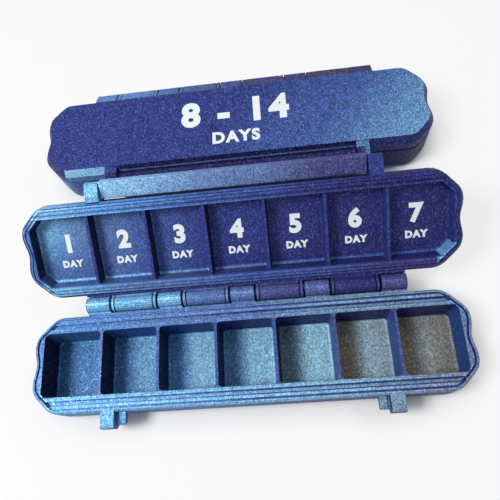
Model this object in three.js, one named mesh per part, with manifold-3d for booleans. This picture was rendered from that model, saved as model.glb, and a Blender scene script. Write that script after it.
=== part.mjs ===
// A two-week pill organizer: two identical printed cases, one open in front, one closed behind it.
// Each case is a base with seven cells, a lid with seven matching panels, a snap latch and its pins.
// Millimetres, +Z up. The origin is the centre of the front case's underside, with its hinge at +Y.

import * as THREE from 'three';
import { mergeVertices } from 'three/addons/utils/BufferGeometryUtils.js';
import Module from 'manifold-3d';

const wasm = await Module();
wasm.setup();

// Driving dimensions

const cell = {
  count: 7,
  width: 23.4,
  depth: 26.8,
  height: 14.4,
  divider: 1.2,
  endSpare: 1.2, // the two end cells are this much longer
  cornerRadius: 1.4,
  endCornerCut: 1.5, // legs of the 45 degree cuts in the end cells' outer corners
  draft: 0.5, // each wall leans in by this much down to the floor
  floorRound: 1.1,
};
const shell = {
  floor: 1.6,
  longRim: 6.9, // rim beside the long walls
  endRim: 4.1, // rim beyond the end cells
  cornerCutShare: 0.443, // legs of the 45 degree corners, as a share of the case's half depth
  cornerRadiusShare: 0.4,
  rimChamfer: 0.8,
  footChamfer: 2.8,
};
// The shallow wave that draws in each short end; its half length is a share of the case's half depth.
const waist = { halfShare: 0.37, depth: 1.15 };
const seal = {
  grooveInset: 1.7, // from the cells' long edge to the groove
  grooveWidth: 1.8,
  grooveDepth: 1.4,
  grooveEndInset: 2.5, // from the end cell's end wall to the groove's end
  tongueWidth: 1,
  tongueHeight: 1.1,
  lineInset: 1.2, // from the case's outline to the fine seal line that runs all the way round
  lineWidth: 0.9,
  lineDepth: 0.6,
  beadWidth: 0.4, // the bead on the lid that stands in the line
  beadHeight: 0.45,
};
const lid = {
  height: 8.6,
  topInset: 2.1, // chamfer round the top
  topFall: 3.4,
  recessDepth: 6.6,
  recessEndRim: 3.5,
  recessCornerCut: 4.8,
  recessRound: 0.9,
  recessDraft: 0.4,
};
const hinge = {
  offset: 4.4, // axis to the back wall
  radius: 3.3,
  pitch: 31.3,
  baseKnuckles: 5,
  baseWidth: 10.4,
  collarWidth: 1.3,
  collarStep: 0.5,
  collarGroove: 0.45,
  baseArmSlope: 42, // degrees between an arm's outer face and the wall it leaves
  lidArmSlope: 63,
  pinRadius: 1.1,
};
const ear = {
  inner: 54.9, // middle of the case to an ear's inner side
  width: 5.6,
  embed: 1.5, // how far ears, pegs and hinge arms run into the wall they stand on
  baseReach: 6.6,
  baseTip: 5.5, // height of the base ear's blunt end
  baseKneeReach: 4.6,
  baseKnee: 3, // from the blunt end down to the knee
  baseFoot: 3.5, // above the underside
  baseRound: 1.2,
  lidReach: 8,
  lidFlat: 2.6, // level stretch below the lid ear, before it rises to its tip
  lidTip: 2.2, // rounding of the tip, about the latch pivot
  lidTipLow: 2.2, // tip's corners below and above the pivot
  lidTipHigh: 0.6,
  lidTop: 3.1, // the ear's top, above the pivot at its front and back ends
  lidTopBack: 3.7,
  lidFront: 4.9, // where the top starts to fall to the tip
};
const peg = {
  width: 2.9,
  gap: 1.1, // from the peg to its ear, where a lower web joins them
  webDrop: 1.1,
  reach: 5,
  drop: 3.2,
  height: 2.8,
};
const latch = {
  pivotReach: 4.6, // pivot to the front wall
  pivotHeight: 4.6, // pivot above the lid's rim
  faceHalf: 3.75, // half the width of the flat pivot end
  faceHeight: 2.1, // flat pivot end above the pivot
  chamfer: 0.5,
  barrelBack: 1.4, // how far below the pivot the barrel's back ends
  shoulder: 4.1, // where the barrel's underside meets the plate, below the pivot
  plate: 2.95,
  drop: 12.2, // pivot to the lower edge
  lip: 1.1, // how far a snap lip stands in from the plate
  lipRamp: 2,
  lipEdge: 0.3,
  lipLength: 6,
  pinRadius: 1,
  pinDepth: 8,
  pinRecess: 0.4,
};
const clearance = {
  rim: 0.2, // between the closed rims
  knuckle: 0.5, // between neighbouring knuckles
  arm: 0.3, // hinge arms and lid ears to the other half's rim
  pin: 0.25, // pin to bore, on the radius
  latchEnd: 0.6, // latch to an ear
};
const pose = { lidOpen: 142, latchOpen: 170 };
const backCaseOffset = 106.8; // middle of the front case to the middle of the back one

const overrun = 1; // how far cutters pass a surface
const steps = { corner: 3, waist: 8, cell: 2, round: 3, profile: 3, knuckle: 20, pin: 16 };

// Sizes worked out from them

const cellPitch = cell.width + cell.divider;
const cavityHalf = (cell.count * cellPitch - cell.divider) / 2 + cell.endSpare;
const caseHalf = { x: cavityHalf + shell.endRim, y: cell.depth / 2 + shell.longRim };
const cornerCut = shell.cornerCutShare * caseHalf.y;
const cornerRadius = shell.cornerRadiusShare * caseHalf.y;
const waistHalf = waist.halfShare * caseHalf.y;
const rimZ = shell.floor + cell.height;
const lidRimZ = rimZ + clearance.rim;
const axisY = caseHalf.y + hinge.offset;
const axisZ = rimZ + clearance.rim / 2;
const hingeHalf = ((hinge.baseKnuckles - 1) * hinge.pitch + hinge.baseWidth) / 2;
const lidKnuckleWidth = hinge.pitch - hinge.baseWidth - 2 * clearance.knuckle;
const pivotY = -caseHalf.y - latch.pivotReach;
const pivotZ = lidRimZ + latch.pivotHeight;
const latchHalf = ear.inner - clearance.latchEnd;
const grooveInner = cell.depth / 2 + seal.grooveInset;
const grooveOuter = grooveInner + seal.grooveWidth;
const tongueInner = grooveInner + (seal.grooveWidth - seal.tongueWidth) / 2;
const beadInset = seal.lineInset + (seal.lineWidth - seal.beadWidth) / 2;

// Solids

function solid(geometry) {
  const bare = geometry.clone();
  bare.deleteAttribute('normal');
  bare.deleteAttribute('uv');
  const merged = mergeVertices(bare);
  return new wasm.Manifold(new wasm.Mesh({
    numProp: 3,
    vertProperties: new Float32Array(merged.attributes.position.array),
    triVerts: new Uint32Array(merged.index.array),
  }));
}

function toGeometry(body) {
  const mesh = body.getMesh();
  const geometry = new THREE.BufferGeometry();
  geometry.setAttribute('position', new THREE.BufferAttribute(mesh.vertProperties, 3));
  geometry.setIndex(new THREE.BufferAttribute(mesh.triVerts, 1));
  geometry.computeVertexNormals();
  return geometry;
}

// Joins flat rings of equal point count into one closed body; place puts ring k's point in space.
function loft(flatRings, place) {
  const clockwise = THREE.ShapeUtils.isClockWise(flatRings[0]);
  const rings = clockwise ? flatRings.map((ring) => [...ring].reverse()) : flatRings;
  const size = rings[0].length;
  const positions = rings.flatMap((ring, k) => ring.flatMap((point) => place(point, k)));
  const faces = [];
  for (let k = 0; k + 1 < rings.length; k++) {
    for (let i = 0; i < size; i++) {
      const j = (i + 1) % size;
      const [a, b, c, d] = [k * size + i, k * size + j, (k + 1) * size + j, (k + 1) * size + i];
      faces.push(a, b, c, a, c, d);
    }
  }
  const last = (rings.length - 1) * size;
  THREE.ShapeUtils.triangulateShape(rings[0], []).forEach(([a, b, c]) => faces.push(c, b, a));
  THREE.ShapeUtils.triangulateShape(rings.at(-1), [])
    .forEach(([a, b, c]) => faces.push(last + a, last + b, last + c));
  if (signedVolume(positions, faces) < 0) {
    faces.reverse();
  }
  const geometry = new THREE.BufferGeometry();
  geometry.setAttribute('position', new THREE.Float32BufferAttribute(positions, 3));
  geometry.setIndex(faces);
  return solid(geometry);
}

function signedVolume(positions, faces) {
  const corner = (i) => new THREE.Vector3().fromArray(positions, 3 * i);
  let volume = 0;
  for (let f = 0; f < faces.length; f += 3) {
    volume += corner(faces[f]).dot(corner(faces[f + 1]).cross(corner(faces[f + 2])));
  }
  return volume;
}

// A stack of plan outlines, each at its own height.
function stack(levels) {
  return loft(levels.map((level) => level.outline), (p, k) => [p.x, p.y, levels[k].z]);
}

// A side profile drawn out along X, its corners given as [y, z, radius].
function prism(corners, x0, x1) {
  const ring = rounded(corners, steps.profile);
  return loft([ring, ring], (p, k) => [k ? x1 : x0, p.x, p.y]);
}

// The same for what stands on the front wall, its corners given as [reach, z, radius].
function frontPrism(corners, x0, x1) {
  return prism(corners.map(([reach, z, radius]) => [-caseHalf.y - reach, z, radius]), x0, x1);
}

function rod(radius, x0, x1, y, z, segments) {
  const geometry = new THREE.CylinderGeometry(radius, radius, x1 - x0, segments);
  geometry.rotateZ(Math.PI / 2);
  geometry.translate((x0 + x1) / 2, y, z);
  return solid(geometry);
}

const unite = (parts) => parts.reduce((whole, part) => whole.add(part));
const cutAll = (body, cutters) => cutters.reduce((whole, cutter) => whole.subtract(cutter), body);
const bothSides = (make) => [-1, 1].map(make);

// Rounds each corner of a closed outline, given as [x, y, radius], with arcs of count segments.
function rounded(corners, count) {
  return corners.flatMap(([x, y, radius], i) => {
    const here = new THREE.Vector2(x, y);
    if (radius === 0) {
      return [here];
    }
    const [px, py] = corners.at(i - 1);
    const [nx, ny] = corners[(i + 1) % corners.length];
    const back = new THREE.Vector2(px, py).sub(here).normalize();
    const ahead = new THREE.Vector2(nx, ny).sub(here).normalize();
    const half = Math.acos(THREE.MathUtils.clamp(back.dot(ahead), -1, 1)) / 2;
    const centre = back.clone().add(ahead).normalize().multiplyScalar(radius / Math.sin(half)).add(here);
    const start = here.clone().addScaledVector(back, radius / Math.tan(half)).sub(centre);
    const end = here.clone().addScaledVector(ahead, radius / Math.tan(half)).sub(centre);
    const turn = Math.atan2(start.cross(end), start.dot(end));
    return Array.from({ length: count + 1 }, (_, k) => {
      const angle = (turn * k) / count;
      return start.clone().rotateAround(new THREE.Vector2(), angle).add(centre);
    });
  });
}

// Outlines

// The case's plan: a long rectangle with rounded 45 degree corners, drawn in at each short end.
function caseOutline(inset) {
  const x = caseHalf.x - inset;
  const y = caseHalf.y - inset;
  const cut = cornerCut - inset * (2 - Math.SQRT2);
  const radius = cornerRadius - inset;
  const wave = Array.from({ length: steps.waist + 1 }, (_, k) => {
    const share = (2 * k) / steps.waist - 1;
    return [x - (waist.depth * (1 + Math.cos(Math.PI * share))) / 2, waistHalf * share, 0];
  });
  const end = [
    [x - cut, -y, radius],
    [x, cut - y, radius],
    ...wave,
    [x, y - cut, radius],
    [x - cut, y, radius],
  ];
  const otherEnd = end.map(([px, py, r]) => [-px, -py, r]);
  return rounded([...end, ...otherEnd], steps.corner);
}

function cellSpan(index) {
  const left = index * cellPitch - cavityHalf + (index > 0 ? cell.endSpare : 0);
  const right = left + cell.width + (index === 0 || index === cell.count - 1 ? cell.endSpare : 0);
  return [left, right];
}

// A rounded box whose outline shrinks towards one end, as a drafted and filleted pocket does.
function pocket(corners, radius, mouthZ, floorZ, draft, round) {
  const centreX = corners.reduce((sum, [x]) => sum + x, 0) / corners.length;
  const inward = Math.sign(floorZ - mouthZ);
  const outlineAt = (inset) => rounded(corners.map(([x, y]) => [
    x - inset * Math.sign(x - centreX),
    y - inset * Math.sign(y),
    radius,
  ]), steps.cell);
  const levels = [{ z: mouthZ - inward * overrun, outline: outlineAt(0) }];
  levels.push({ z: mouthZ, outline: outlineAt(0) });
  for (let k = 0; k <= steps.round; k++) {
    const angle = (k / steps.round) * (Math.PI / 2);
    levels.push({
      z: floorZ - inward * round * (1 - Math.sin(angle)),
      outline: outlineAt(draft + round * (1 - Math.cos(angle))),
    });
  }
  return stack(levels);
}

// Base

// A cell's four corners, or six where an end cell's outer corners are cut at 45 degrees.
function cellCorners(index, left, right, y, cut) {
  const lowLeft = index === 0 ? [[left, cut - y], [left + cut, -y]] : [[left, -y]];
  const lowRight = index === cell.count - 1 ? [[right - cut, -y], [right, cut - y]] : [[right, -y]];
  const mirrored = (corners) => corners.map(([px, py]) => [px, -py]).reverse();
  return [...lowLeft, ...lowRight, ...mirrored(lowRight), ...mirrored(lowLeft)];
}

function baseCell(index) {
  const corners = cellCorners(index, ...cellSpan(index), cell.depth / 2, cell.endCornerCut);
  return pocket(corners, cell.cornerRadius, rimZ, shell.floor, cell.draft, cell.floorRound);
}

// A straight bar beside the long wall with its ends cut at 45 degrees, for the groove and the tongue.
function sealBar(side, inner, width, halfLength, z0, z1) {
  const outline = [
    [-halfLength, inner],
    [halfLength, inner],
    [halfLength - width, inner + width],
    [width - halfLength, inner + width],
  ].map(([x, y]) => new THREE.Vector2(x, side * y));
  return stack([{ z: z0, outline }, { z: z1, outline }]);
}

// A thin wall that follows the case's outline all the way round, for the seal line and its bead.
function sealRing(inset, width, z0, z1) {
  const slab = (edge, low, high) => stack([
    { z: low, outline: caseOutline(edge) },
    { z: high, outline: caseOutline(edge) },
  ]);
  return slab(inset, z0, z1).subtract(slab(inset + width, z0 - overrun, z1 + overrun));
}

// An arm from the back wall that runs tangent onto its knuckle; up is 1 on the lid, -1 on the base.
function hingeArm(x0, x1, up, slope, rimFaceZ) {
  const angle = THREE.MathUtils.degToRad(slope);
  const tangent = { y: hinge.radius * Math.cos(angle), z: hinge.radius * Math.sin(angle) };
  const run = tangent.z + (hinge.offset + tangent.y) / Math.tan(angle);
  return prism([
    [caseHalf.y - ear.embed, rimFaceZ, 0],
    [axisY, rimFaceZ, 0],
    [axisY + tangent.y, axisZ + up * tangent.z, 0],
    [caseHalf.y, axisZ + up * run, 0],
    [caseHalf.y - ear.embed, axisZ + up * run, 0],
  ], x0, x1);
}

function baseKnuckleSpan(index) {
  const middle = (index - (hinge.baseKnuckles - 1) / 2) * hinge.pitch;
  return [middle - hinge.baseWidth / 2, middle + hinge.baseWidth / 2];
}

function lidKnuckleSpan(index) {
  const left = baseKnuckleSpan(index)[1] + clearance.knuckle;
  return [left, left + lidKnuckleWidth];
}

// The arms' shape drawn along the whole hinge, hollowed out round the other half's knuckles.
function hingeRail(up, slope, rimFaceZ, otherSpans) {
  const rail = hingeArm(-hingeHalf, hingeHalf, up, slope, rimFaceZ);
  return cutAll(rail, otherSpans.map(([x0, x1]) => rod(
    hinge.radius + clearance.knuckle, x0 - clearance.knuckle, x1 + clearance.knuckle,
    axisY, axisZ, steps.knuckle,
  )));
}

function hingeBore(x0, x1) {
  return rod(hinge.pinRadius + clearance.pin, x0, x1, axisY, axisZ, steps.pin);
}

function baseEar(side) {
  const tipZ = rimZ - ear.baseTip;
  return frontPrism([
    [-ear.embed, rimZ, 0],
    [ear.baseReach, rimZ, ear.baseRound],
    [ear.baseReach, tipZ, ear.baseRound],
    [ear.baseKneeReach, tipZ - ear.baseKnee, ear.baseRound],
    [0, ear.baseFoot, 0],
    [-ear.embed, ear.baseFoot, 0],
  ], ...sideSpan(side, ear.inner, ear.inner + ear.width));
}

// A peg with a round nose beside each base ear, tied to it by a lower web; the latch snaps over it.
function latchPeg(side) {
  const bottom = rimZ - peg.drop - peg.height;
  const post = (top, near, far) => {
    const nose = (top - bottom) / 2;
    return frontPrism([
      [-ear.embed, top, 0],
      [peg.reach, top, nose],
      [peg.reach, bottom, nose],
      [-ear.embed, bottom, 0],
    ], ...sideSpan(side, near, far));
  };
  const far = ear.inner - peg.gap;
  return post(bottom + peg.height, far - peg.width, far)
    .add(post(bottom + peg.height - peg.webDrop, far - peg.width / 2, ear.inner + ear.embed));
}

function sideSpan(side, near, far) {
  return side > 0 ? [near, far] : [-far, -near];
}

const baseSpans = Array.from({ length: hinge.baseKnuckles }, (_, i) => baseKnuckleSpan(i));
const lidSpans = Array.from({ length: hinge.baseKnuckles - 1 }, (_, i) => lidKnuckleSpan(i));

function makeBase() {
  const body = stack([
    { z: 0, outline: caseOutline(shell.footChamfer) },
    { z: shell.footChamfer, outline: caseOutline(0) },
    { z: rimZ - shell.rimChamfer, outline: caseOutline(0) },
    { z: rimZ, outline: caseOutline(shell.rimChamfer) },
  ]);
  const cells = Array.from({ length: cell.count }, (_, i) => baseCell(i));
  const grooveHalf = cavityHalf - seal.grooveEndInset;
  const grooves = bothSides((side) => sealBar(
    side, grooveInner, seal.grooveWidth, grooveHalf, rimZ - seal.grooveDepth, rimZ + overrun,
  ));
  const knuckles = baseSpans.map(([x0, x1]) => rod(hinge.radius, x0, x1, axisY, axisZ, steps.knuckle));
  const rail = hingeRail(-1, hinge.baseArmSlope, rimZ - clearance.arm, lidSpans);
  const solidBase = unite([body, rail, ...knuckles, ...bothSides(baseEar), ...bothSides(latchPeg)]);
  const line = sealRing(seal.lineInset, seal.lineWidth, rimZ - seal.lineDepth, rimZ + overrun);
  const bore = hingeBore(-hingeHalf - overrun, hingeHalf + overrun);
  return cutAll(solidBase, [...cells, ...grooves, line, bore]);
}

// Lid, drawn closed

function lidPanel(index) {
  const [left, right] = cellSpan(index);
  const endX = caseHalf.x - lid.recessEndRim;
  const x0 = index === 0 ? -endX : left;
  const x1 = index === cell.count - 1 ? endX : right;
  const corners = cellCorners(index, x0, x1, tongueInner, lid.recessCornerCut);
  const floorZ = lidRimZ + lid.recessDepth;
  return pocket(corners, lid.recessRound, lidRimZ, floorZ, lid.recessDraft, lid.recessRound);
}

// A knuckle with a thrust collar at each end, set off by a fine groove.
function lidKnuckle([x0, x1]) {
  const body = rod(hinge.radius, x0, x1, axisY, axisZ, steps.knuckle);
  const grooves = [[x0, 1], [x1, -1]].map(([end, inward]) => {
    const near = end + inward * hinge.collarWidth;
    const far = near + inward * hinge.collarGroove;
    const [from, to] = [Math.min(near, far), Math.max(near, far)];
    const ring = rod(hinge.radius + overrun, from, to, axisY, axisZ, steps.knuckle);
    return ring.subtract(rod(
      hinge.radius - hinge.collarStep, from - overrun, to + overrun, axisY, axisZ, steps.knuckle,
    ));
  });
  return cutAll(body, grooves);
}

function lidEar(side) {
  const low = lidRimZ + clearance.arm;
  return frontPrism([
    [-lid.topInset, low, 0],
    [ear.lidFlat, low, 0],
    [ear.lidReach, pivotZ - ear.lidTipLow, ear.lidTip],
    [ear.lidReach, pivotZ + ear.lidTipHigh, ear.lidTip],
    [ear.lidFront, pivotZ + ear.lidTop, ear.lidTip],
    [-lid.topInset, pivotZ + ear.lidTopBack, 0],
  ], ...sideSpan(side, ear.inner, ear.inner + ear.width));
}

function latchBore(side) {
  const span = sideSpan(side, latchHalf - latch.pinDepth, ear.inner + ear.width + overrun);
  return rod(latch.pinRadius + clearance.pin, ...span, pivotY, pivotZ, steps.pin);
}

function makeLid() {
  const top = lidRimZ + lid.height;
  const body = stack([
    { z: lidRimZ, outline: caseOutline(shell.rimChamfer) },
    { z: lidRimZ + shell.rimChamfer, outline: caseOutline(0) },
    { z: top - lid.topFall, outline: caseOutline(0) },
    { z: top, outline: caseOutline(lid.topInset) },
  ]);
  const panels = Array.from({ length: cell.count }, (_, i) => lidPanel(i));
  const tongueHalf = cavityHalf - seal.grooveEndInset - seal.grooveWidth;
  const tongues = bothSides((side) => sealBar(
    side, tongueInner, seal.tongueWidth, tongueHalf, lidRimZ - seal.tongueHeight, lidRimZ + overrun,
  ));
  const bead = sealRing(beadInset, seal.beadWidth, lidRimZ - seal.beadHeight, lidRimZ + overrun);
  const knuckles = lidSpans.map(lidKnuckle);
  const rail = hingeRail(1, hinge.lidArmSlope, lidRimZ + clearance.arm, baseSpans);
  const hollow = cutAll(body, panels);
  const solidLid = unite([hollow, rail, bead, ...tongues, ...knuckles, ...bothSides(lidEar)]);
  return cutAll(solidLid, [
    hingeBore(-hingeHalf - overrun, hingeHalf + overrun),
    ...bothSides(latchBore),
  ]);
}

// Latch, drawn closed with its pivot at the origin

function makeLatch() {
  const { faceHalf, faceHeight, chamfer, drop } = latch;
  const plateInner = faceHalf - latch.plate;
  const lipEdgeZ = latch.lipEdge - drop;
  const lipTopZ = lipEdgeZ + latch.lipRamp;
  const bar = prism([
    [-faceHalf, faceHeight, chamfer],
    [faceHalf, faceHeight, chamfer],
    [faceHalf, -latch.barrelBack, chamfer],
    [-plateInner, -latch.shoulder, chamfer],
    [-plateInner, lipTopZ, 0],
    [latch.lip - plateInner, lipEdgeZ, 0],
    [latch.lip - plateInner, -drop, 0],
    [-faceHalf, -drop, chamfer],
  ], -latchHalf, latchHalf);
  // Between the two snap lips the plate's inner side runs straight down.
  const straight = prism([
    [-plateInner, lipTopZ + overrun, 0],
    [latch.lip + overrun, lipTopZ + overrun, 0],
    [latch.lip + overrun, -drop - overrun, 0],
    [-plateInner, -drop - overrun, 0],
  ], latch.lipLength - latchHalf, latchHalf - latch.lipLength);
  const bores = bothSides((side) => {
    const span = sideSpan(side, latchHalf - latch.pinDepth, latchHalf + overrun);
    return rod(latch.pinRadius + clearance.pin, ...span, 0, 0, steps.pin);
  });
  return cutAll(bar, [straight, ...bores]);
}

function makeHingePin() {
  const reach = hingeHalf - latch.pinRecess;
  return rod(hinge.pinRadius, -reach, reach, 0, 0, steps.pin);
}

function makeLatchPin(side) {
  const near = latchHalf - latch.pinDepth + latch.pinRecess;
  const far = ear.inner + ear.width - latch.pinRecess;
  return rod(latch.pinRadius, ...sideSpan(side, near, far), 0, 0, steps.pin);
}

// Materials

const printed = { color: 0x34408f, roughness: 0.5, metalness: 0.15 };
const finishes = {
  base: printed,
  lid: { ...printed, color: 0x3a4796 },
  latch: { ...printed, color: 0x6f79b4 },
  pin: { ...printed, color: 0x2a3060 },
};

// Assembly

function named(name, body, finish) {
  const mesh = new THREE.Mesh(toGeometry(body), new THREE.MeshStandardMaterial(finish));
  mesh.name = name;
  return mesh;
}

// Turns whatever is drawn closed about an axis along X through (y, z).
function turnedAbout(y, z, degrees, ...children) {
  const shifted = new THREE.Group();
  shifted.position.set(0, -y, -z);
  shifted.add(...children);
  const turned = new THREE.Group();
  turned.position.set(0, y, z);
  turned.rotation.x = THREE.MathUtils.degToRad(degrees);
  turned.add(shifted);
  return turned;
}

function makeCase(name, lidAngle, latchAngle) {
  const pinAt = (y, z, mesh) => {
    mesh.position.set(0, y, z);
    return mesh;
  };
  const latchBar = pinAt(pivotY, pivotZ, named(`${name}_latch`, makeLatch(), finishes.latch));
  const latchPins = [['left', -1], ['right', 1]].map(([word, side]) => (
    pinAt(pivotY, pivotZ, named(`${name}_latch_pin_${word}`, makeLatchPin(side), finishes.pin))
  ));
  const turnedLatch = turnedAbout(pivotY, pivotZ, -latchAngle, latchBar);
  const lidShell = named(`${name}_lid`, makeLid(), finishes.lid);
  const group = new THREE.Group();
  group.add(
    named(`${name}_base`, makeBase(), finishes.base),
    pinAt(axisY, axisZ, named(`${name}_hinge_pin`, makeHingePin(), finishes.pin)),
    turnedAbout(axisY, axisZ, -lidAngle, lidShell, turnedLatch, ...latchPins),
  );
  return group;
}

const organizer = new THREE.Group();
const frontCase = makeCase('front', pose.lidOpen, pose.latchOpen);
const backCase = makeCase('back', 0, 0);
backCase.position.y = backCaseOffset;
organizer.add(frontCase, backCase);

export default organizer;
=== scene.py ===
"""Looks for the two-week pill organizer: glittering colour-shifting prints with white numerals."""

import math
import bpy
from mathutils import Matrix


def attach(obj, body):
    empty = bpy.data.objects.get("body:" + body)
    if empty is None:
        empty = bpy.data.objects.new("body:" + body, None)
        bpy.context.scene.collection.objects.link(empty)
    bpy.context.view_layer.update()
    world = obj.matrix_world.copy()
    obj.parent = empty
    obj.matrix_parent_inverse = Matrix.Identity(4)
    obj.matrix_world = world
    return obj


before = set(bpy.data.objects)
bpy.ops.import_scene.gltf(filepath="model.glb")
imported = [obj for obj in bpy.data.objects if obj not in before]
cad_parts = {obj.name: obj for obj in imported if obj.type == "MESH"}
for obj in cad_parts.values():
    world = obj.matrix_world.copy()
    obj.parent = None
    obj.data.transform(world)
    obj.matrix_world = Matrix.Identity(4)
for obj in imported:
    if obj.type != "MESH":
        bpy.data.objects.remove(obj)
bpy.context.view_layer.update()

from types import SimpleNamespace

import bpy
from mathutils import Matrix, Vector

MM = 0.001

# Places on the solids, as they are in a closed case that stands where the front case does
CELLS = 7
CELL_PITCH = 24.6 * MM
HALF_X = 90.8 * MM
HALF_Y = 20.3 * MM
CORNER_SUM = HALF_X + HALF_Y - 9 * MM  # x + y all along the cut of a corner
DIAGONAL = 0.707
WAVE_HALF = 0.37 * HALF_Y  # how far from the middle the hollow in an end reaches
WAVE_DEPTH = 1.15 * MM
AXIS_Y = 24.7 * MM
AXIS_Z = 16.1 * MM
KNUCKLE_PITCH = 31.3 * MM
LID_OPEN = math.radians(142)
PANEL_Z = 22.8 * MM  # inner face of a closed lid's top
TOP_Z = 24.8 * MM  # outer face of a closed lid's top
BACK_CASE_Y = 106.8 * MM

OPENED = (
    Matrix.Translation((0, AXIS_Y, AXIS_Z))
    @ Matrix.Rotation(-LID_OPEN, 4, "X")
    @ Matrix.Translation((0, -AXIS_Y, -AXIS_Z))
)
STANDING_BACK = Matrix.Translation((0, BACK_CASE_Y, 0))

# The print's surface
LAYER = 0.2 * MM  # height of a printed layer
BEAD = 0.84 * MM  # two bead widths, as the light and dark lines show
FLAKES = 2700  # flakes to the metre
FLAKE_STRETCH = (1, 0.7, 1.3)
FLAKE_SPREAD = 0.42  # how much lighter or darker than the colour a flake can be
RELIEF = 0.06 * MM  # how deep lines, grain and flakes reach


class Nodes:
    """A node tree, with short names for what the looks below build in it."""

    def __init__(self, tree):
        self.tree = tree

    def add(self, kind, **settings):
        node = self.tree.nodes.new("ShaderNode" + kind)
        for key, value in settings.items():
            setattr(node, key, value)
        return node

    def link(self, source, target):
        self.tree.links.new(source, target)

    def put(self, socket, value):
        if isinstance(value, bpy.types.NodeSocket):
            self.link(value, socket)
        else:
            socket.default_value = value

    def math(self, operation, a, b=0.0):
        node = self.add("Math", operation=operation)
        self.put(node.inputs[0], a)
        self.put(node.inputs[1], b)
        return node.outputs[0]

    def plus(self, a, b):
        return self.math("ADD", a, b)

    def minus(self, a, b):
        return self.math("SUBTRACT", a, b)

    def times(self, first, *others):
        for other in others:
            first = self.math("MULTIPLY", first, other)
        return first

    def larger(self, first, *others):
        for other in others:
            first = self.math("MAXIMUM", first, other)
        return first

    def ripple(self, length, pitch):
        return self.math("SINE", self.times(length, 2 * math.pi / pitch))

    def span(self, value, low, high, to_low=0.0, to_high=1.0):
        """A smooth step from low to high. Where low is the greater, it falls as the value rises."""
        node = self.add("MapRange", interpolation_type="SMOOTHSTEP")
        self.put(node.inputs["Value"], value)
        node.inputs["From Min"].default_value = low
        node.inputs["From Max"].default_value = high
        node.inputs["To Min"].default_value = to_low
        node.inputs["To Max"].default_value = to_high
        return node.outputs["Result"]

    def fade(self, length, low, high, to_low=0.0, to_high=1.0):
        """The same along a length, from low to high in mm."""
        return self.span(length, low * MM, high * MM, to_low, to_high)

    def between(self, length, low, high, soft=0.15):
        """1 where a length lies between low and high, both in mm, and 0 outside."""
        return self.times(
            self.fade(length, low - soft, low + soft), self.fade(length, high - soft, high + soft, 1, 0)
        )

    def within(self, mask, level):
        """The level where the mask is 1, and a level of 1 where it is 0."""
        return self.plus(self.times(mask, self.minus(level, 1.0)), 1.0)

    def bands(self, length, *bands):
        """A level of 1 that goes to each band's own level: bands are (low, high, level), in mm."""
        level = self.plus(0.0, 1.0)
        for low, high, aim in bands:
            level = self.plus(level, self.times(self.between(length, low, high, soft=0.1), aim - 1.0))
        return level

    def mix(self, factor, a, b):
        node = self.add("Mix", data_type="RGBA", clamp_result=True)
        self.put(node.inputs["Factor"], factor)
        self.put(node.inputs["A"], a)
        self.put(node.inputs["B"], b)
        return node.outputs["Result"]

    def ramp(self, length, *stops):
        """A colour that runs through (place in mm, colour) stops."""
        colour = stops[0][1]
        for (low, _), (high, following) in zip(stops, stops[1:]):
            colour = self.mix(self.fade(length, low, high), colour, following)
        return colour

    def scaled(self, colour, level):
        grey = self.add("CombineXYZ")
        for socket in grey.inputs:
            self.put(socket, level)
        product = self.add("VectorMath", operation="MULTIPLY")
        self.put(product.inputs[0], colour)
        self.link(grey.outputs[0], product.inputs[1])
        return product.outputs[0]

    def split(self, vector):
        node = self.add("SeparateXYZ")
        self.link(vector, node.inputs[0])
        return node.outputs

    def noise(self, vector, scale, detail, roughness=0.5):
        node = self.add("TexNoise")
        self.link(vector, node.inputs["Vector"])
        node.inputs["Scale"].default_value = scale
        node.inputs["Detail"].default_value = detail
        node.inputs["Roughness"].default_value = roughness
        return node.outputs["Fac"]

    def seen_rays(self):
        """1 for the rays that show the background: to the camera, off gloss and through glass."""
        ray = self.add("LightPath").outputs
        return self.larger(ray["Is Camera Ray"], ray["Is Glossy Ray"], ray["Is Transmission Ray"])


class Looks(Nodes):
    """The node tree of a new material."""

    def __init__(self, name):
        self.material = bpy.data.materials.new(name)
        self.material.use_nodes = True
        super().__init__(self.material.node_tree)
        self.shader = self.tree.nodes["Principled BSDF"]

    def bump(self, height, strength, distance):
        node = self.add("Bump")
        node.inputs["Strength"].default_value = strength
        node.inputs["Distance"].default_value = distance
        self.link(height, node.inputs["Height"])
        self.link(node.outputs["Normal"], self.shader.inputs["Normal"])


def case_coordinates(nodes, opened, back):
    """Position and normal as they are in a closed case that stands where the front case does."""
    position = nodes.add("TexCoord").outputs["Object"]
    normal = nodes.add("TexCoord").outputs["Normal"]
    shift = nodes.add("Mapping", vector_type="POINT")
    nodes.link(position, shift.inputs["Vector"])
    shift.inputs["Location"].default_value = (0, -AXIS_Y - (BACK_CASE_Y if back else 0), -AXIS_Z)
    turned = (LID_OPEN, 0, 0) if opened else (0, 0, 0)
    turn = nodes.add("Mapping", vector_type="POINT")
    nodes.link(shift.outputs["Vector"], turn.inputs["Vector"])
    turn.inputs["Rotation"].default_value = turned
    turn.inputs["Location"].default_value = (0, AXIS_Y, AXIS_Z)
    lean = nodes.add("Mapping", vector_type="NORMAL")
    nodes.link(normal, lean.inputs["Vector"])
    lean.inputs["Rotation"].default_value = turned
    return turn.outputs["Vector"], lean.outputs["Vector"]


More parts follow.
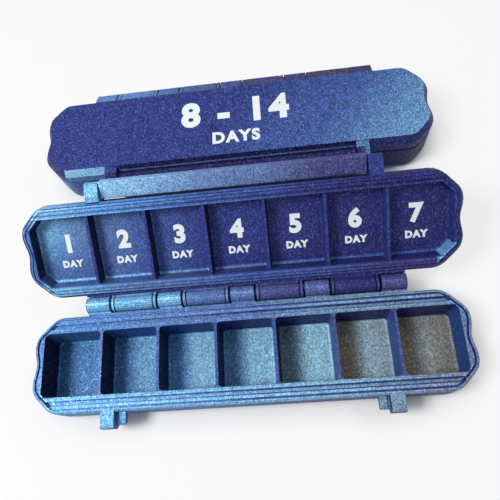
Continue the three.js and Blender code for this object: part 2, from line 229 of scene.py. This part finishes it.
def outline(nodes, far_x, far_y):
    """How far a point lies outside the case's outline, below 0 inside it, and a mask of the corner cuts."""
    share = nodes.math("MINIMUM", nodes.times(far_y, math.pi / WAVE_HALF), math.pi)
    wave = nodes.times(nodes.plus(nodes.math("COSINE", share), 1.0), WAVE_DEPTH / 2)
    end = nodes.plus(nodes.minus(far_x, HALF_X), wave)
    slant = nodes.times(nodes.minus(nodes.plus(far_x, far_y), CORNER_SUM), DIAGONAL)
    inset = nodes.larger(end, nodes.minus(far_y, HALF_Y), slant)
    return inset, nodes.fade(nodes.minus(slant, inset), -0.1, 0)


def flakes(nodes, place):
    """Three random numbers, 0 to 1, for each flake in the print."""
    raster = nodes.add("Mapping", vector_type="POINT")
    nodes.link(place, raster.inputs["Vector"])
    raster.inputs["Rotation"].default_value = (0, 0, math.radians(45))
    raster.inputs["Scale"].default_value = FLAKE_STRETCH
    cells = nodes.add("TexVoronoi", feature="F1")
    nodes.link(raster.outputs["Vector"], cells.inputs["Vector"])
    cells.inputs["Scale"].default_value = FLAKES
    return nodes.split(cells.outputs["Color"])


def print_surface(nodes, opened=False, back=False, glitter=1.0, layers=1.0):
    """Gives a printed piece its relief and gloss. Returns where each point lies and the print's masks."""
    place, lean = case_coordinates(nodes, opened, back)
    x, y, z = nodes.split(place)
    nx, ny, up = nodes.split(lean)
    far_x = nodes.math("ABSOLUTE", x)
    far_y = nodes.math("ABSOLUTE", y)
    inset, corner = outline(nodes, far_x, far_y)
    flat = nodes.span(nodes.math("ABSOLUTE", up), 0.9, 0.98)
    wander = nodes.noise(place, 60, 2)  # how the print's lines stray
    layer = nodes.ripple(nodes.plus(z, nodes.times(wander, 0.05 * MM)), LAYER)
    bead = nodes.ripple(nodes.plus(inset, nodes.times(wander, 0.1 * MM)), BEAD)
    cloud = nodes.noise(place, 300, 3, 0.65)
    grain = nodes.noise(place, 3200, 2, 0.6)
    flake = flakes(nodes, place)
    spark = nodes.span(flake[0], 0.8, 0.95)

    ridge = nodes.plus(nodes.times(layer, nodes.minus(1.0, flat)), nodes.times(bead, flat, 0.7))
    relief = nodes.plus(nodes.times(ridge, 0.35 * layers), nodes.times(grain, 1.2))
    nodes.bump(nodes.plus(relief, nodes.times(flake[2], 0.8)), 0.6, RELIEF)
    rough = nodes.plus(nodes.times(cloud, 0.2), 0.4)
    nodes.link(nodes.minus(rough, nodes.times(spark, 0.18 * glitter)), nodes.shader.inputs["Roughness"])
    nodes.shader.inputs["Metallic"].default_value = 0.25
    nodes.shader.inputs["IOR"].default_value = 1.46
    nodes.shader.inputs["Specular IOR Level"].default_value = 0.2
    return SimpleNamespace(
        x=x, y=y, z=z, nx=nx, ny=ny, up=up, far_x=far_x, far_y=far_y, inset=inset, corner=corner,
        flat=flat, bead=bead, cloud=cloud, flake=flake, spark=spark
    )


def paint(nodes, colour, at, glitter=1.0, lines=1.0):
    """Puts a colour on the shader with clouds, print lines and flakes, each lighter or darker, the painted
    light and shade of the edge lines it is given, and a painted glint on the brightest flakes.
    """
    level = nodes.plus(nodes.span(at.cloud, 0.25, 0.75, 0.88, 1.1), nodes.times(at.bead, at.flat, 0.07))
    spread = FLAKE_SPREAD * glitter
    level = nodes.times(level, nodes.span(at.flake[1], 0.0, 1.0, 1 - spread, 1 + spread), lines)
    plain = nodes.scaled(colour, level)
    # Painted glint: the brightest flakes turn lighter and bluer, as if they caught the light
    painted_glint = nodes.mix(0.3, nodes.scaled(plain, 2.0), GLINT)
    shown = nodes.mix(nodes.times(at.spark, 0.6 * glitter), plain, painted_glint)
    nodes.link(shown, nodes.shader.inputs["Base Color"])


def hinge_lines(nodes, at, lid):
    """Levels along the hinge: painted shade in the gaps between the knuckles and in the grooves, painted
    highlights on the collars and the base's knuckle crests, and the print along the hinge.
    """
    across = nodes.math("PINGPONG", at.x, KNUCKLE_PITCH / 2)  # 0 in the middle of a base knuckle
    # Painted shade in the gaps between the knuckles and in the grooves, painted highlight on the collars
    gap_shade = (4.9, 6.0, 0.08)
    collar_highlight = (6.15, 6.85, 1.5)
    groove = (6.95, 7.55, 0.25)
    level = nodes.bands(across, gap_shade, collar_highlight, groove) if lid else nodes.bands(across, gap_shade)
    level = nodes.times(level, nodes.plus(nodes.times(nodes.ripple(at.y, BEAD), 0.14), 1.0))
    if not lid:
        # Painted highlight along the crest of each base knuckle
        crest_highlight = nodes.times(nodes.between(at.y, 24.0, 24.7), nodes.fade(across, 4.6, 4.4))
        level = nodes.times(level, nodes.within(crest_highlight, 1.5))
    level = nodes.within(nodes.fade(at.y, 20.6, 21.2), level)
    if lid:
        # Painted shade in the gap on the lid above each of the base's knuckles
        knuckle_gap_shade = nodes.times(
            nodes.between(at.y, 19.9, 20.8), nodes.fade(across, 6.2, 6.0), nodes.span(at.up, -0.5, -0.2)
        )
        level = nodes.times(level, nodes.within(knuckle_gap_shade, 0.15))
    return level


def linear(r, g, b):
    """A colour given as 0 to 255 screen values, as the shader wants it."""
    def one(c):
        c /= 255
        return c / 12.92 if c <= 0.04045 else ((c + 0.055) / 1.055) ** 2.4
    return (one(r), one(g), one(b), 1)


# Colours of the print, and of the white figures, under plain light. Some of them are painted light and shade,
# such as the darkest ones and the glint.
GLASS = linear(146, 198, 250)
ICE = linear(124, 178, 228)
FOAM = linear(104, 160, 204)
SKY = linear(110, 168, 216)
GLAZE = linear(100, 144, 190)
AZURE = linear(84, 134, 196)
CREEK = linear(72, 122, 178)
TEAL = linear(70, 112, 164)
POOL = linear(54, 100, 150)
HARBOR = linear(100, 124, 176)
STEEL = linear(86, 112, 166)
BLUE = linear(60, 82, 148)
DEEP = linear(28, 70, 148)
INDIGO = linear(46, 54, 124)
NAVY = linear(30, 36, 104)
PLUM = linear(72, 72, 128)
GRAPE = linear(56, 54, 114)
DUSK = linear(42, 42, 106)
VIOLET = linear(36, 26, 82)
SHADE = linear(32, 23, 78)
# Near-black painted shade, for faces that lie in shade
DARK_SHADE = linear(14, 19, 50)
SEA = linear(118, 166, 196)
FROST = linear(138, 182, 204)
MIST = linear(140, 158, 168)
HAZE = linear(106, 136, 162)
SLATE = linear(114, 124, 146)
SAND = linear(128, 126, 116)
OLIVE = linear(112, 108, 84)
MURK = linear(78, 102, 118)
# Painted glint on the brightest flakes
GLINT = linear(130, 190, 232)
WHITE = linear(246, 253, 255)
MILK = linear(224, 240, 248)

# Where the colours change on a closed case, in mm
EAR_Y = -20.5  # the front wall, from which the ears stand out
HINGE_Y = 21.0  # behind the case, where the hinge begins
CELL_Y = 13.5  # half a cell's depth
GROOVES_Y = ((14.85, 15.5), (16.5, 17.15))
SEAL_INSET = (-2.25, -1.05)  # the seal line that runs all round
EAR_X = 60.6  # outer side of the lid's ears
LATCH_X = 54.0
RIM_Z = 16.0
GROOVE_Z = 14.4  # floor of the grooves
LID_RIM_Z = 17.0  # a closed lid is rim below this
SHOULDER_Z = 23.6  # where the lid's walls turn into its top


def base_rim(nodes, at):
    """The base's top: light in front, darker by the hinge and at the ends, with painted shade in its grooves
    and along its seal step.
    """
    front = nodes.ramp(at.x, (-20, FOAM), (20, SEA), (88, SLATE))
    by_hinge = nodes.ramp(at.x, (-88, CREEK), (-10, STEEL), (40, HAZE))
    rim = nodes.mix(nodes.fade(at.y, -10, 10), front, by_hinge)
    rim = nodes.mix(nodes.fade(at.far_x, 84, 88, 0, 0.5), rim, STEEL)
    divider = nodes.ramp(at.x, (-74, STEEL), (-20, BLUE), (74, PLUM))
    among_cells = nodes.times(
        nodes.fade(at.far_y, CELL_Y + 0.3, CELL_Y - 0.3), nodes.fade(at.far_x, 86, 85.6)
    )
    rim = nodes.mix(among_cells, rim, divider)
    # Painted shade: the grooves and the seal step are darker than the rim
    line = nodes.ramp(at.x, (-88, AZURE), (-30, STEEL), (10, BLUE), (88, INDIGO))
    grooves = nodes.larger(*(nodes.between(at.far_y, *groove) for groove in GROOVES_Y))
    rim = nodes.mix(nodes.times(grooves, nodes.fade(at.far_x, 84, 83)), rim, line)
    seal_step_shade = nodes.times(nodes.between(at.inset, *SEAL_INSET), nodes.fade(at.z, RIM_Z - 0.1, RIM_Z - 0.3))
    return nodes.mix(seal_step_shade, rim, nodes.mix(nodes.fade(at.far_x, 80, 84), line, NAVY))


def base_cells(nodes, at, rim, top):
    """The cells: painted shade on the walls on the left, painted light on those on the right, and floors that
    turn from blue to grey, with painted shadow across the left of each.
    """
    wall = nodes.ramp(at.x, (-85, TEAL), (-35, DEEP), (0, NAVY))
    lit_right_wall = nodes.ramp(at.x, (-60, STEEL), (20, BLUE), (85, DEEP))
    # Painted light on the walls on the right of each cell, painted shade on those on the left
    wall = nodes.mix(nodes.span(at.nx, -0.5, -0.9), wall, lit_right_wall)
    wall = nodes.mix(nodes.span(at.nx, 0.5, 0.9), wall, DARK_SHADE)
    # Painted shadow of each cell's left wall across the left of its floor, painted light on the rest
    shaded = nodes.ramp(at.x, (-85, POOL), (-20, CREEK), (20, MURK), (45, OLIVE))
    lit = nodes.ramp(at.x, (-85, POOL), (-5, SEA), (30, FROST), (62, MIST), (85, SAND))
    across = nodes.math("FRACT", nodes.times(nodes.plus(at.x, CELLS / 2 * CELL_PITCH), 1 / CELL_PITCH))
    floor = nodes.mix(nodes.span(across, 0.2, 0.6), shaded, lit)
    cell = nodes.mix(nodes.times(nodes.fade(at.z, 6, 3), top), wall, floor)
    return nodes.mix(nodes.times(nodes.fade(at.z, RIM_Z - 0.6, RIM_Z - 0.1), top), cell, rim)


def base_lines(nodes, at):
    """Levels for painted highlights on the edges beside the grooves and round the rim's raised step."""
    groove_edge_highlights = nodes.bands(at.far_y, (14.3, 14.75, 1.25), (17.25, 17.7, 1.3))
    step_edge_highlights = nodes.bands(at.inset, (-1.15, -0.7, 1.3), (-2.6, -2.2, 1.25))
    raised = nodes.times(nodes.fade(at.z, RIM_Z - 0.4, RIM_Z - 0.2), nodes.fade(at.inset, 0.1, -0.1))
    return nodes.within(raised, nodes.times(groove_edge_highlights, step_edge_highlights))


def base_material(name, back=False):
    nodes = Looks(name)
    at = print_surface(nodes, back=back)
    top = nodes.span(at.up, 0.4, 0.8)
    rim = base_rim(nodes, at)
    walls = nodes.ramp(at.x, (-85, STEEL), (-20, BLUE), (60, DUSK))
    hinge = nodes.ramp(at.x, (-31, SKY), (0, STEEL), (62, PLUM))
    if back:
        # On the back case, painted shade: the base's rim and walls turn dark violet from the left end on
        rim = walls = nodes.ramp(at.x, (-88, TEAL), (-62, DUSK), (0, VIOLET))
        hinge = nodes.ramp(at.x, (-62, AZURE), (0, BLUE), (62, DUSK))
    outside = nodes.mix(nodes.fade(at.y, HINGE_Y - 0.4, HINGE_Y + 0.4), nodes.mix(top, walls, rim), hinge)
    cell = base_cells(nodes, at, rim, top)
    # From the outline inwards: outer walls, rim, the step under it, cells. Upright faces come last
    low = nodes.fade(at.z, GROOVE_Z + 0.1, GROOVE_Z - 0.1)
    colour = nodes.mix(nodes.fade(at.inset, -0.3, 0.3), rim, outside)
    colour = nodes.mix(nodes.times(nodes.fade(at.inset, -1.2, -0.8, 1, 0), low), colour, cell)
    inner = nodes.mix(nodes.between(at.inset, -5.4, -3.2), cell, nodes.mix(low, rim, cell))
    colour = nodes.mix(nodes.fade(at.inset, -3.9, -4.0), colour, inner)
    upright = nodes.mix(nodes.fade(at.inset, -2.4, -2.0), cell, outside)
    colour = nodes.mix(nodes.span(at.up, 0.3, 0.1), colour, upright)
    paint(nodes, colour, at, lines=nodes.times(base_lines(nodes, at), hinge_lines(nodes, at, False)))
    return nodes.material


def lid_inside(nodes, at, far_rim):
    """The lid's inner side: the panels, the recess walls round them with painted light and shade, and the
    rim, with a painted highlight at one corner.
    """
    panel = nodes.ramp(at.x, (-88, SKY), (-62, STEEL), (-36, BLUE), (-10, INDIGO), (50, DUSK))
    left_by_hinge = nodes.times(nodes.fade(at.y, -6, 10), nodes.fade(at.x, -40, -70, 0, 0.7))
    panel = nodes.mix(left_by_hinge, panel, BLUE)
    by_wall = nodes.ramp(at.x, (-80, ICE), (0, STEEL), (60, BLUE))
    panel = nodes.mix(nodes.fade(at.y, 13.4, 14.3), panel, by_wall)
    # Painted shade on the recess walls that face away from the light, painted light on those that face it
    wall = nodes.mix(nodes.span(at.nx, -0.5, -0.9), DARK_SHADE, INDIGO)
    lit_wall = nodes.ramp(at.x, (-80, STEEL), (40, DUSK))
    wall = nodes.mix(nodes.span(at.ny, -0.5, -0.9), wall, lit_wall)
    # Painted highlight on the recess's cut corner wall
    corner = nodes.times(nodes.span(at.nx, -0.4, -0.6), nodes.span(at.ny, -0.4, -0.6))
    wall = nodes.mix(corner, wall, SKY)
    by_hinge = nodes.ramp(at.x, (-88, SKY), (-40, STEEL), (10, BLUE), (70, GRAPE))
    rim = nodes.mix(nodes.fade(at.y, -8, 8), far_rim, by_hinge)
    end = nodes.ramp(at.x, (-80, BLUE), (80, INDIGO))
    rim = nodes.mix(nodes.fade(at.far_x, 84, 87, 0, 0.8), rim, end)
    # Painted highlight on the rim by that cut corner
    corner_highlight = nodes.times(
        at.corner, nodes.fade(at.x, 80, 81), nodes.fade(at.y, 8, 9), nodes.fade(at.inset, -2.4, -2.7)
    )
    rim = nodes.mix(corner_highlight, rim, SKY)
    rim = nodes.mix(nodes.fade(at.inset, -5.2, -5.6), rim, INDIGO)
    recess = nodes.mix(nodes.span(at.up, -0.4, -0.8), wall, panel)
    return nodes.mix(nodes.fade(at.z, LID_RIM_Z + 0.2, LID_RIM_Z - 0.4), recess, rim)


def lid_outside(nodes, at, far_rim, opened, back):
    """The lid's outer side: top, chamfers, walls, ears and hinge, with painted sheen, light and shade."""
    # Painted sheen: the top turns from indigo to a light blue-grey towards the right and the front
    painted_sheen_axis = nodes.minus(at.x, nodes.times(at.y, 0.9))
    top = nodes.ramp(painted_sheen_axis, (-10, INDIGO), (40, BLUE), (100, GLAZE))
    # Painted light on the chamfer and wall outside the left ear, painted shade from there inward
    chamfer = nodes.ramp(at.x, (-EAR_X - 0.3, GLASS), (-EAR_X + 0.3, DUSK))
    wall = nodes.ramp(at.x, (-EAR_X - 0.3, TEAL), (-EAR_X + 0.3, VIOLET), (90, DUSK))
    if opened:
        # Painted shade on the opened lid's wall under the latch
        under_latch_shade = nodes.times(
            nodes.fade(at.z, LID_RIM_Z + 0.2, LID_RIM_Z + 0.8), nodes.fade(at.far_x, LATCH_X + 1, LATCH_X)
        )
        wall = nodes.mix(under_latch_shade, far_rim, DARK_SHADE)
    side = nodes.mix(nodes.span(at.up, 0.2, 0.4), wall, chamfer)
    ends = nodes.span(nodes.math("ABSOLUTE", at.nx), 0.12, 0.3)
    side = nodes.mix(ends, side, far_rim if opened else DUSK)
    side = nodes.mix(nodes.span(at.ny, -0.62, -0.4), side, DUSK)
    if back:
        # Painted shade on the back lid's front between the ears, with a painted highlight line along it
        shaded_band = nodes.times(nodes.fade(at.far_x, LATCH_X + 0.4, LATCH_X), nodes.fade(at.y, -18, -18.4))
        side = nodes.mix(shaded_band, side, SHADE)
        side = nodes.mix(nodes.times(shaded_band, nodes.between(at.z, 22.2, 22.8)), side, STEEL)
    outer = nodes.mix(nodes.span(at.up, 0.75, 0.97), side, top)
    ears = nodes.ramp(at.x, (57, VIOLET), (59.5, TEAL))
    if opened:
        ears = nodes.ramp(at.x, (-57, SKY), (57, INDIGO))
    on_ears = nodes.times(nodes.fade(at.y, EAR_Y + 0.1, EAR_Y - 0.1), nodes.fade(at.z, 24.3, 24.2))
    outer = nodes.mix(on_ears, outer, ears)
    hinge = nodes.ramp(at.x, (-50, SKY), (-16, STEEL), (16, PLUM), (50, DUSK))
    if back:
        hinge = nodes.ramp(at.x, (-50, AZURE), (-16, BLUE), (16, DUSK), (50, VIOLET))
    return nodes.mix(nodes.fade(at.y, HINGE_Y - 0.4, HINGE_Y + 0.4), outer, hinge)


def lid_lines(nodes, at):
    """Levels for the tongues and the seal bead on the rim, each a painted highlight on the ridge between
    painted shade on its edges.
    """
    tongue = nodes.bands(at.far_y, (14.9, 15.35, 0.55), (15.45, 15.9, 1.7), (16.5, 16.95, 0.5))
    bead = nodes.bands(
        at.inset, (-0.95, -0.6, 0.6), (-1.5, -1.15, 1.7), (-2.25, -1.85, 0.5), (-2.8, -2.4, 1.4)
    )
    on_rim = nodes.times(nodes.fade(at.z, LID_RIM_Z + 0.1, LID_RIM_Z - 0.1), nodes.fade(at.inset, -0.2, -0.4))
    return nodes.within(on_rim, nodes.times(tongue, bead))


def lid_material(name, opened=False, back=False):
    nodes = Looks(name)
    at = print_surface(nodes, opened, back)
    far_rim = nodes.ramp(at.x, (-88, ICE), (-50, AZURE), (-10, BLUE), (50, DUSK))
    inside = lid_inside(nodes, at, far_rim)
    outside = lid_outside(nodes, at, far_rim, opened, back)
    # The outer side is what lies by the outline, high up, or beside the recess above the rim
    beside = nodes.times(nodes.fade(at.inset, -2.6, -2.2), nodes.fade(at.z, LID_RIM_Z + 0.4, LID_RIM_Z + 0.8))
    high = nodes.fade(at.z, SHOULDER_Z - 0.2, SHOULDER_Z + 0.2)
    shell = nodes.larger(nodes.fade(at.inset, -1.1, -0.9), high, beside)
    lines = nodes.times(lid_lines(nodes, at), hinge_lines(nodes, at, True))
    paint(nodes, nodes.mix(shell, inside, outside), at, glitter=1.2 if back else 0.85, lines=lines)
    return nodes.material


def latch_material(name, opened=False, back=False):
    nodes = Looks(name)
    at = print_surface(nodes, opened, back)
    if opened:
        colour = nodes.ramp(at.x, (-58, GLASS), (4, HARBOR), (40, PLUM))
    else:
        # Closed: dark violet with a painted highlight line across the latch
        colour = nodes.mix(nodes.between(at.z, 14.2, 15.0), VIOLET, STEEL)
    paint(nodes, colour, at)
    return nodes.material


def pin_material(name):
    nodes = Looks(name)
    at = print_surface(nodes, glitter=0.6, layers=0.4)
    paint(nodes, nodes.ramp(at.x, (-60, BLUE), (60, INDIGO)), at, 0.6)
    return nodes.material


def numeral_material():
    nodes = Looks("white_inlay")
    place = nodes.add("TexCoord").outputs["Object"]
    grain = nodes.noise(place, 2600, 3, 0.6)
    strand = nodes.add("TexWave", wave_type="BANDS", bands_direction="DIAGONAL")
    nodes.link(place, strand.inputs["Vector"])
    strand.inputs["Scale"].default_value = 700
    strand.inputs["Distortion"].default_value = 0.8
    colour = nodes.mix(nodes.span(grain, 0.35, 0.7, 0, 0.5), WHITE, MILK)
    nodes.link(colour, nodes.shader.inputs["Base Color"])
    nodes.shader.inputs["Roughness"].default_value = 0.5
    nodes.bump(nodes.plus(strand.outputs["Fac"], grain), 0.35, 0.04 * MM)
    return nodes.material


def dress(node, material):
    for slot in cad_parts[node].material_slots:
        slot.material = material


dress("front_base", base_material("front_base_print"))
dress("back_base", base_material("back_base_print", back=True))
dress("front_lid", lid_material("front_lid_print", opened=True))
dress("back_lid", lid_material("back_lid_print", back=True))
dress("front_latch", latch_material("front_latch_print", opened=True))
dress("back_latch", latch_material("back_latch_print", back=True))
PIN_PRINT = pin_material("pin_print")
for case in ("front", "back"):
    for pin in ("hinge_pin", "latch_pin_left", "latch_pin_right"):
        dress(f"{case}_{pin}", PIN_PRINT)

INLAY_PRINT = numeral_material()
INLAY = 0.12 * MM  # how thick a numeral is, lying on the printed face
LIFT = 0.01 * MM


def inlay(name, words, size, heavy, x, y, place, body, on_panel):
    """White figures on a lid's panel or its top, drawn for a closed case and then put in place."""
    curve = bpy.data.curves.new(name, "FONT")
    curve.body = words
    curve.size = size * MM
    curve.offset = heavy * MM
    curve.extrude = INLAY / 2
    curve.align_x = "CENTER"
    curve.align_y = "CENTER"
    curve.space_character = 1.2
    curve.resolution_u = 4
    figure = bpy.data.objects.new(name, curve)
    bpy.context.scene.collection.objects.link(figure)
    lift = INLAY / 2 + LIFT
    if on_panel:
        local = Matrix.Translation((x, y * MM, PANEL_Z - lift)) @ Matrix.Rotation(math.pi, 4, "X")
    else:
        local = Matrix.Translation((x, y * MM, TOP_Z + lift))
    figure.matrix_world = place @ local
    curve.materials.append(INLAY_PRINT)
    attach(figure, body)


for i in range(CELLS):
    x = (i - (CELLS - 1) / 2) * CELL_PITCH
    for case, first, place in (("front", 1, OPENED), ("back", CELLS + 1, STANDING_BACK)):
        day = first + i
        body = f"{case}_lid_body"
        inlay(f"{case}_day_{day}", str(day), 10.5, 0.55, x, -1.9, place, body, on_panel=True)
        inlay(f"{case}_word_{day}", "DAY", 4.0, 0.24, x, 7.0, place, body, on_panel=True)

for case, days, place in (("front", "1 - 7", OPENED), ("back", "8 - 14", STANDING_BACK)):
    body = f"{case}_lid_body"
    inlay(f"{case}_span", days, 17.5, 0.8, 1.5 * MM, 4, place, body, on_panel=False)
    inlay(f"{case}_span_word", "DAYS", 8, 0.36, 1.5 * MM, -9.6, place, body, on_panel=False)


# The camera, fitted to the photograph
camera = bpy.data.objects.new("camera", bpy.data.cameras.new("camera"))
bpy.context.scene.collection.objects.link(camera)
camera.location = (20.3 * MM, -39.0 * MM, 229.4 * MM)
camera.rotation_euler = (0.3627, 0.1181, -0.0478)
camera.data.lens = 37.73
camera.data.sensor_width = 36
camera.data.shift_x = 0.0238
camera.data.shift_y = 0.0049
camera.data.clip_start = 0.005
bpy.context.scene.camera = camera

FLOOR_REACH = 3.0
FLOOR_DROP = 0.05 * MM  # so that the floor and the cases' undersides don't share a plane
SHADOW_REACH = 16 * MM  # how far from the object its soft contact shade reaches
FLOOR_GLOW = 0.76  # how much of the open floor is seen as plain white


def floor_material():
    """A pale floor that is seen nearly white, and keeps its shadows near the object."""
    nodes = Looks("pale_floor")
    nodes.shader.inputs["Base Color"].default_value = (0.86, 0.87, 0.88, 1)
    nodes.shader.inputs["Roughness"].default_value = 0.9
    glow = nodes.add("Emission")
    glow.inputs["Color"].default_value = (1, 1, 1, 1)
    near = nodes.add("AmbientOcclusion", samples=8)
    near.inputs["Distance"].default_value = SHADOW_REACH
    unshaded = nodes.times(nodes.span(near.outputs["AO"], 0.42, 0.97), FLOOR_GLOW)
    blend = nodes.add("MixShader")
    nodes.link(nodes.times(nodes.seen_rays(), unshaded), blend.inputs["Fac"])
    nodes.link(nodes.shader.outputs["BSDF"], blend.inputs[1])
    nodes.link(glow.outputs["Emission"], blend.inputs[2])
    nodes.link(blend.outputs["Shader"], nodes.tree.nodes["Material Output"].inputs["Surface"])
    return nodes.material


floor_mesh = bpy.data.meshes.new("floor")
ends = (-FLOOR_REACH, FLOOR_REACH)
corners = [(x, y, 0) for y in ends for x in ends]
floor_mesh.from_pydata(corners, [], [(0, 1, 3, 2)])
floor = bpy.data.objects.new("floor", floor_mesh)
bpy.context.scene.collection.objects.link(floor)
floor.location.z = -FLOOR_DROP
floor_mesh.materials.append(floor_material())


LAMP_AIM = Vector((0, 0.04, 0))


def area_light(name, location, size, power, colour):
    """A soft lamp, aimed near the middle of the object."""
    light = bpy.data.lights.new(name, "AREA")
    light.shape = "RECTANGLE"
    light.size, light.size_y = size
    light.energy = power
    light.color = colour
    lamp = bpy.data.objects.new(name, light)
    bpy.context.scene.collection.objects.link(lamp)
    lamp.location = location
    lamp.rotation_euler = (LAMP_AIM - Vector(location)).to_track_quat("-Z", "Y").to_euler()


area_light("key", (-0.46, -0.08, 0.72), (0.26, 0.26), 5.6, (1, 0.99, 0.97))
area_light("fill", (0.5, 0.3, 0.55), (0.6, 0.5), 0.8, (0.94, 0.97, 1))


def studio_world():
    """Plain soft light all round, seen as a white background."""
    world = bpy.data.worlds.new("studio")
    bpy.context.scene.world = world
    world.use_nodes = True
    nodes = Nodes(world.node_tree)
    soft = world.node_tree.nodes["Background"]
    soft.inputs["Color"].default_value = (0.95, 0.97, 1, 1)
    soft.inputs["Strength"].default_value = 0.26
    white = nodes.add("Background")
    white.inputs["Color"].default_value = (1, 1, 1, 1)
    blend = nodes.add("MixShader")
    nodes.link(nodes.seen_rays(), blend.inputs["Fac"])
    nodes.link(soft.outputs["Background"], blend.inputs[1])
    nodes.link(white.outputs["Background"], blend.inputs[2])
    nodes.link(blend.outputs["Shader"], world.node_tree.nodes["World Output"].inputs["Surface"])


studio_world()
bpy.context.scene.view_settings.view_transform = "Standard"
